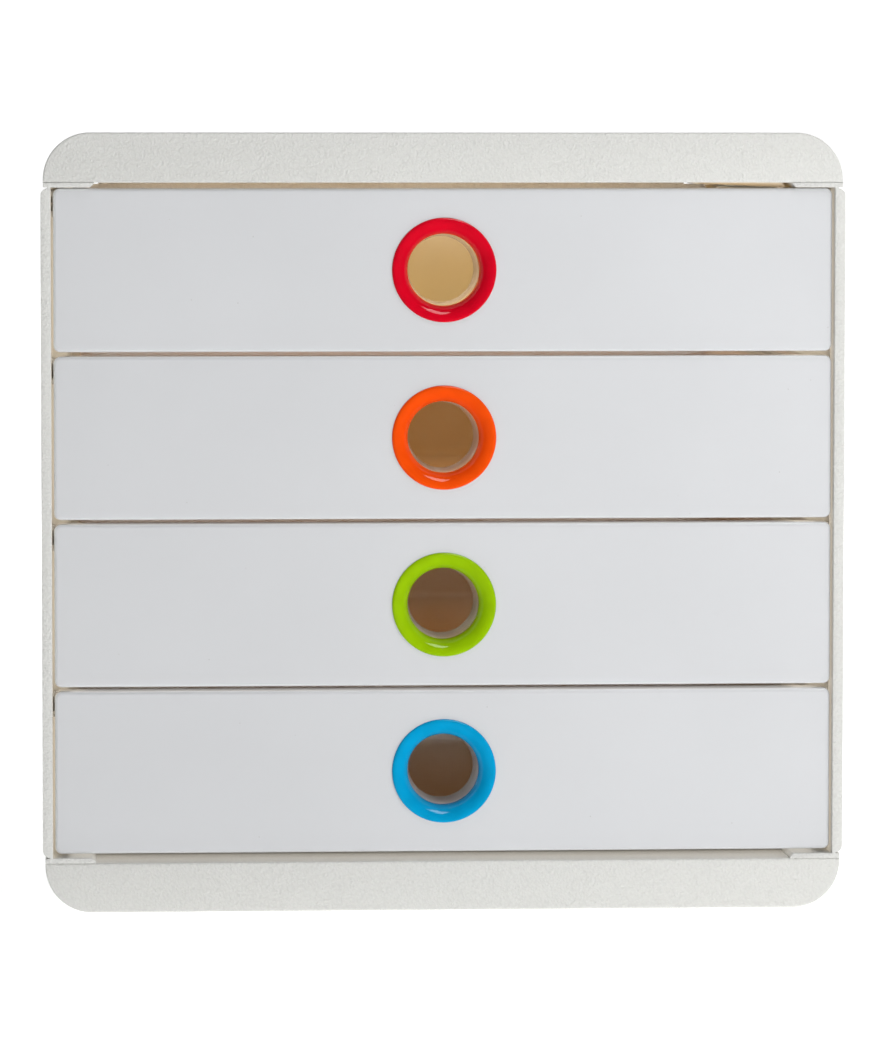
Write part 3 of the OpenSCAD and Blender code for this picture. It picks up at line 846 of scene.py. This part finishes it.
class TOWER_OT_covers(bpy.types.Operator):
    """Model the top cover, and the base cover with its floor panel"""

    bl_idname = "tower.covers"
    bl_label = "Covers"

    def execute(self, context):
        top = cover_moulding("tower_top_cover", COVER_LOW, COVER_HIGH, True, 8.6 * MM)
        dress(top, "top_cover", housing_finish(), "housing_white")
        base_depth = BASE_HIGH.z - BASE_LOW.z
        base = cover_moulding("tower_base_cover", BASE_LOW, BASE_HIGH, False, base_depth - 3.25 * MM)
        foot_recesses(base)
        dress(base, "base_cover", housing_finish(), "housing_white")
        dress(floor_panel_moulding("tower_floor_panel"), "floor_panel", housing_finish(), "housing_white")
        return {"FINISHED"}


class TOWER_OT_side_panels(bpy.types.Operator):
    """Model the right side panel and mirror it to the left"""

    bl_idname = "tower.side_panels"
    bl_label = "Side panels"

    def execute(self, context):
        right = side_moulding("tower_right_side")
        left = mirrored(right, "tower_left_side")
        dress(right, "right_side_panel", housing_finish(), "housing_white")
        dress(left, "left_side_panel", housing_finish(), "housing_white")
        return {"FINISHED"}


class TOWER_OT_rear_panel(bpy.types.Operator):
    """Model the ribbed rear panel"""

    bl_idname = "tower.rear_panel"
    bl_label = "Rear panel"

    def execute(self, context):
        dress(rear_moulding("tower_rear_panel"), "rear_panel", housing_finish(), "housing_white")
        return {"FINISHED"}


class TOWER_OT_tubs(bpy.types.Operator):
    """Model one drawer tub and copy it"""

    bl_idname = "tower.tubs"
    bl_label = "Drawer tubs"

    def execute(self, context):
        material = satin_plastic(context.scene.tower_colours.tub)
        per_drawer("tub", tub_moulding, lambda n: material, lambda n: "tub_white")
        return {"FINISHED"}


class TOWER_OT_fronts(bpy.types.Operator):
    """Model one drawer front and copy it"""

    bl_idname = "tower.fronts"
    bl_label = "Drawer fronts"

    def execute(self, context):
        colours = context.scene.tower_colours
        material = gloss_plastic("front_plastic", colours.front, colours.tub)
        per_drawer("front", front_moulding, lambda n: material, lambda n: "front_white")
        return {"FINISHED"}


class TOWER_OT_rings(bpy.types.Operator):
    """Model one grip ring and copy it in four colours"""

    bl_idname = "tower.rings"
    bl_label = "Grip rings"

    def execute(self, context):
        colours = context.scene.tower_colours
        materials = {n: ring_plastic(f"ring_plastic_{n}", getattr(colours, f"ring_{n}")) for n in DRAWERS}
        per_drawer("ring", ring_moulding, materials.get, RING_SLOTS.get)
        return {"FINISHED"}


class TOWER_OT_collars(bpy.types.Operator):
    """Model one white collar and copy it"""

    bl_idname = "tower.collars"
    bl_label = "Collars"

    def execute(self, context):
        colours = context.scene.tower_colours
        material = gloss_plastic("collar_plastic", colours.collar, colours.tub, 0.16)
        per_drawer("collar", collar_moulding, lambda n: material, lambda n: "collar_white")
        return {"FINISHED"}


class TOWER_OT_small_parts(bpy.types.Operator):
    """Give the feet and the screws their finish"""

    bl_idname = "tower.small_parts"
    bl_label = "Feet and screws"

    def execute(self, context):
        colours = context.scene.tower_colours
        rubber = soft_rubber(colours.rubber)
        steel = zinc_steel(colours.steel)
        for node, material in (("feet", rubber), ("top_screws", steel), ("base_screws", steel)):
            mesh = frame["nodes"][node].data
            mesh.materials.clear()
            mesh.materials.append(material)
        return {"FINISHED"}


class TOWER_OT_studio(bpy.types.Operator):
    """Add the floor, the lights and the camera"""

    bl_idname = "tower.studio"
    bl_label = "Studio"

    def execute(self, context):
        add_floor(context.scene.tower_colours.floor)
        add_lights()
        add_camera()
        return {"FINISHED"}


# ---------------------------------------------------------------- studio

FRAME_W, FRAME_H = 880, 1056
PIXEL = 0.3727 * MM
MIDDLE_PIXEL = (444.6, 524.8)
GLOSS_AMBIENT = 0.02
SOFT_AMBIENT = 0.08

# Softboxes: place, size, power, and whether polished surfaces mirror them
SOFTBOXES = {
    "overhead": ((0.28, -0.60, 1.20), (0.62, 0.46), 4.1, True),
    "key": ((0.76, -0.96, 0.20), (0.5, 0.5), 3.8, False),
    "low": ((0.15, -1.25, 0.12), (0.9, 0.2), 0.8, False),
    "lid": ((0.1, 0.3, 2.2), (1.4, 1.4), 4.5, False),
    "back": ((0.4, 2.0, 0.9), (1.0, 1.0), 7.0, False),
    "left": ((-1.9, 0.5, 0.8), (1.0, 1.0), 4.5, False),
    "right": ((1.9, 0.5, 0.8), (1.0, 1.0), 6.0, False),
}

# Small lamps inside the tower, which the camera doesn't see. A real drawer tower has none: these set
# how bright and how brown its bays and gaps look, and the exported model doesn't hold them.
# By drawer: power and colour in the tub, power and colour at the gap's far end
BAY_GLOW = {
    1: (0.118, (1.0, 0.62, 0.21), 0.005, (1.0, 0.80, 0.70)),
    2: (0.054, (1.0, 0.42, 0.09), 0.004, (0.86, 0.92, 1.0)),
    3: (0.022, (1.0, 0.34, 0.01), 0.005, (0.98, 0.95, 0.94)),
    4: (0.0095, (1.0, 0.34, 0.01), 0.005, (0.98, 0.97, 1.0)),
}
# How far under the tub's rim each far end is lit
GAP_DEPTH = {1: 8 * MM, 2: 8 * MM, 3: 19 * MM, 4: 31 * MM}
BAY_LAMP = (0.22, 0.24)
STRIP_LAMP = (0.284, 0.004)
STRIP_SPREAD = math.radians(80)
LID_GLOW = 0.0135
# Over each gap between the fronts, and over the deeper one under the lowest front: depth and power
LIP_LAMP = (9 * MM, 0.004)
FLOOR_LIP_LAMP = (20 * MM, 0.0065)
# Along the side walls, from the runners outwards
RUNNER_X, RUNNER_GLOW = 140.5 * MM, 0.105
RAIL_X, RAIL_GLOW = 137.5 * MM, 0.03
RUNNER_REAR = 165 * MM
SIDE_GLOW = {-1: 0.0035, 1: 0.0022}
END_GLOW = 0.003
WALL_LAMP_Z, WALL_LAMP_HEIGHT = 0.1465, 0.25
# Beside each tub's rim
RIM_GLOW = {1: 0.0024, 2: 0.0036, 3: 0.001, 4: 0.0006}
RIM_LAMP_LENGTH = 0.3
WARM, WARMER, WARM_WHITE = (1.0, 0.86, 0.70), (1.0, 0.85, 0.68), (1.0, 0.93, 0.86)

FLOOR_NEAR_GLOW, FLOOR_GLOW = 0.86, 0.79
CAMERA_DISTANCE = 1.9
CAMERA_LEFT = 0.125
CAMERA_UP = 0.135
SHIFT = 0.05
SENSOR = 36.0


def add_floor(rgb):
    deselect()
    bpy.ops.mesh.primitive_plane_add(size=1, location=(0, 1.0, 0), scale=(1, 1, 1))
    floor = bpy.context.object
    floor.scale = (9, 9, 1)
    settle(floor, "studio_floor")
    sweep_radius = (REAR_PLANE + 3.0) / 4
    select(floor, "EDGE", lambda a, b: a.y > 5 and b.y > 5)
    bpy.ops.mesh.extrude_region_move(TRANSFORM_OT_translate={"value": (0, 0, 4.5)})
    finish_edit()
    bevel_edges(floor, lambda a, b: a.y > 5 and b.y > 5 and near(a.z, 0) and near(b.z, 0), sweep_radius, 12)
    smooth(floor)
    finish = Finish("studio_white", Roughness=0.9)
    paper = finish.noise(0.4, 2.0)
    finish.set("Base Color", finish.mix(paper, shade(rgb, 0.99), shade(rgb, 1.01)))
    # The floor glows as a light of its own, less strongly near the tower than farther out
    away = finish.axis("X") * finish.axis("X") + finish.axis("Y") * finish.axis("Y")
    finish.set("Emission Color", finish.mix(away.above(0.4, 2.6), shade((1, 1, 1), FLOOR_NEAR_GLOW), (1, 1, 1, 1)))
    finish.shader.inputs["Emission Strength"].default_value = FLOOR_GLOW
    floor.data.materials.append(finish.material)
    floor.visible_glossy = False


def add_area(name, place, target, size, power, rgb=(1, 1, 1), spread=math.pi):
    deselect()
    place, target = Vector(place), Vector(target)
    bpy.ops.object.light_add(type="AREA", location=place, rotation=(target - place).to_track_quat("-Z", "Y").to_euler())
    lamp = bpy.context.object
    lamp.name = name
    lamp.data.shape = "RECTANGLE"
    lamp.data.spread = spread
    lamp.data.size, lamp.data.size_y = size
    lamp.data.energy = power
    lamp.data.color = rgb
    lamp.visible_camera = False
    return lamp


def add_lights():
    scene = bpy.context.scene
    world = bpy.data.worlds.new("studio_world")
    graph = Graph(world)
    ray = graph.node("ShaderNodeLightPath").outputs
    seen, gloss = Field(graph, ray["Is Camera Ray"]), Field(graph, ray["Is Glossy Ray"])
    strength = seen * 1.0 + gloss * GLOSS_AMBIENT + (1.0 - seen) * (1.0 - gloss) * SOFT_AMBIENT
    sky = graph.node("ShaderNodeBackground", None, {"Color": (1, 1, 1, 1), "Strength": strength})
    graph.node("ShaderNodeOutputWorld", None, {"Surface": sky.outputs[0]})
    scene.world = world
    middle = (0, FRONT_PLANE, 0.13)
    for name, (place, size, power, mirrored_in_gloss) in SOFTBOXES.items():
        add_area(f"{name}_softbox", place, middle, size, power).visible_glossy = mirrored_in_gloss
    for n, (power, rgb, gap_power, gap_rgb) in BAY_GLOW.items():
        low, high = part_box(f"drawer_{n}_tub")
        add_area(f"bay_glow_{n}", (0, 0.02, high.z + 1.5 * MM), (0, 0.02, low.z), BAY_LAMP, power, rgb)
        rear = Vector((0, high.y, high.z - GAP_DEPTH[n]))
        add_area(f"rear_glow_{n}", (0, high.y - 24 * MM, high.z - 1 * MM), rear, STRIP_LAMP, gap_power, gap_rgb,
                 spread=STRIP_SPREAD)
    add_area("lid_glow", (0, 0.14, COVER_LOW.z - 3 * MM), (0, REAR_PLANE, COVER_LOW.z - 1 * MM),
             STRIP_LAMP, LID_GLOW, WARMER)
    front_low, front_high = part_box("drawer_1_front")
    edges = [COVER_LOW.z] + [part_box(f"drawer_{n}_front")[0].z for n in DRAWERS]
    for n, z in enumerate(edges):
        depth, power = FLOOR_LIP_LAMP if n == len(DRAWERS) else LIP_LAMP
        place = Vector((0, front_low.y + 1.5 * MM + depth / 2, z - 0.15 * MM))
        add_area(f"lip_glow_{n}", place, place - Vector((0, 0, 1)), (0.28, depth), power, WARM_WHITE)
    for side, name in ((-1, "left"), (1, "right")):
        for kind, x, y0, y1, power in (
            ("runner", side * RUNNER_X, front_high.y, RUNNER_REAR, RUNNER_GLOW),
            ("rail", side * RAIL_X, front_high.y, RUNNER_REAR, RAIL_GLOW),
            ("side", side * (front_high.x + 0.1 * MM), front_low.y + 2 * MM, front_low.y + 10 * MM, SIDE_GLOW[side]),
        ):
            place = Vector((x, (y0 + y1) / 2, WALL_LAMP_Z))
            size = (y1 - y0, WALL_LAMP_HEIGHT)
            add_area(f"{name}_{kind}_glow", place, place + Vector((side, 0, 0)), size, power, WARM)
        for n in DRAWERS:
            x, z, height = (133 * MM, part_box(f"drawer_{n}_tub")[1].z - 4 * MM, 18 * MM)
            if n == 1:
                x, z, height = (129 * MM, COVER_LOW.z - 1.1 * MM, 2 * MM)
            place = Vector((side * x, 0, z))
            size = (RIM_LAMP_LENGTH, height)
            add_area(f"{name}_rim_glow_{n}", place, place + Vector((side, 0, 0)), size, RIM_GLOW[n], WARM)
        place = Vector((side * (front_high.x + 1.3 * MM), front_low.y + 9 * MM, WALL_LAMP_Z))
        size = (2 * MM, WALL_LAMP_HEIGHT)
        add_area(f"{name}_end_glow", place, place + Vector((0, 1, 0)), size, END_GLOW, WARM)
    scene.view_settings.view_transform = "Standard"


def add_camera():
    scene = bpy.context.scene
    centre = (CAD_BOUNDS[0] + CAD_BOUNDS[1]) / 2
    middle = Vector((0, FRONT_PLANE, centre.z))
    place = middle + Vector((-CAMERA_LEFT, -CAMERA_DISTANCE, CAMERA_UP))
    frame_height = FRAME_H * PIXEL
    aim = middle + Vector((FRAME_W / 2 - MIDDLE_PIXEL[0], 0, MIDDLE_PIXEL[1] - FRAME_H / 2)) * PIXEL
    aim += Vector((-1, 0, 1)) * SHIFT * frame_height
    deselect()
    bpy.ops.object.camera_add(location=place, rotation=(aim - place).to_track_quat("-Z", "Y").to_euler())
    camera = bpy.context.object
    camera.name = "studio_camera"
    camera.data.sensor_width = SENSOR
    camera.data.lens = SENSOR * (aim - place).length / frame_height
    camera.data.shift_x = SHIFT
    camera.data.shift_y = -SHIFT
    camera.data.clip_end = 50
    scene.camera = camera


# ---------------------------------------------------------------- panel and registration


class TOWER_PT_panel(bpy.types.Panel):
    """Sizes, colours and steps of the drawer tower"""

    bl_idname = "TOWER_PT_panel"
    bl_label = "Drawer tower"
    bl_space_type = "VIEW_3D"
    bl_region_type = "UI"
    bl_category = "Drawer tower"

    def draw(self, context):
        for title, group in (("Housing", context.scene.tower_housing), ("Drawers", context.scene.tower_drawer),
                             ("Grips", context.scene.tower_grip), ("Colours", context.scene.tower_colours)):
            box = self.layout.box()
            box.label(text=title)
            for key in group.__annotations__:
                box.prop(group, key)
        for operator in OPERATORS:
            self.layout.operator(operator.bl_idname)


OPERATORS = (
    TOWER_OT_covers, TOWER_OT_side_panels, TOWER_OT_rear_panel, TOWER_OT_tubs, TOWER_OT_fronts,
    TOWER_OT_rings, TOWER_OT_collars, TOWER_OT_small_parts, TOWER_OT_studio,
)
GROUPS = {
    "tower_housing": TowerHousing, "tower_drawer": TowerDrawer,
    "tower_grip": TowerGrip, "tower_colours": TowerColours,
}
CLASSES = (*GROUPS.values(), *OPERATORS, TOWER_PT_panel)


def register():
    for cls in CLASSES:
        bpy.utils.register_class(cls)
    for name, group in GROUPS.items():
        setattr(bpy.types.Scene, name, PointerProperty(type=group))


def unregister():
    for name in GROUPS:
        delattr(bpy.types.Scene, name)
    for cls in reversed(CLASSES):
        bpy.utils.unregister_class(cls)


def main():
    register()
    for operator in OPERATORS:
        category, step = operator.bl_idname.split(".")
        getattr(getattr(bpy.ops, category), step)()


if __name__ == "__main__":
    main()
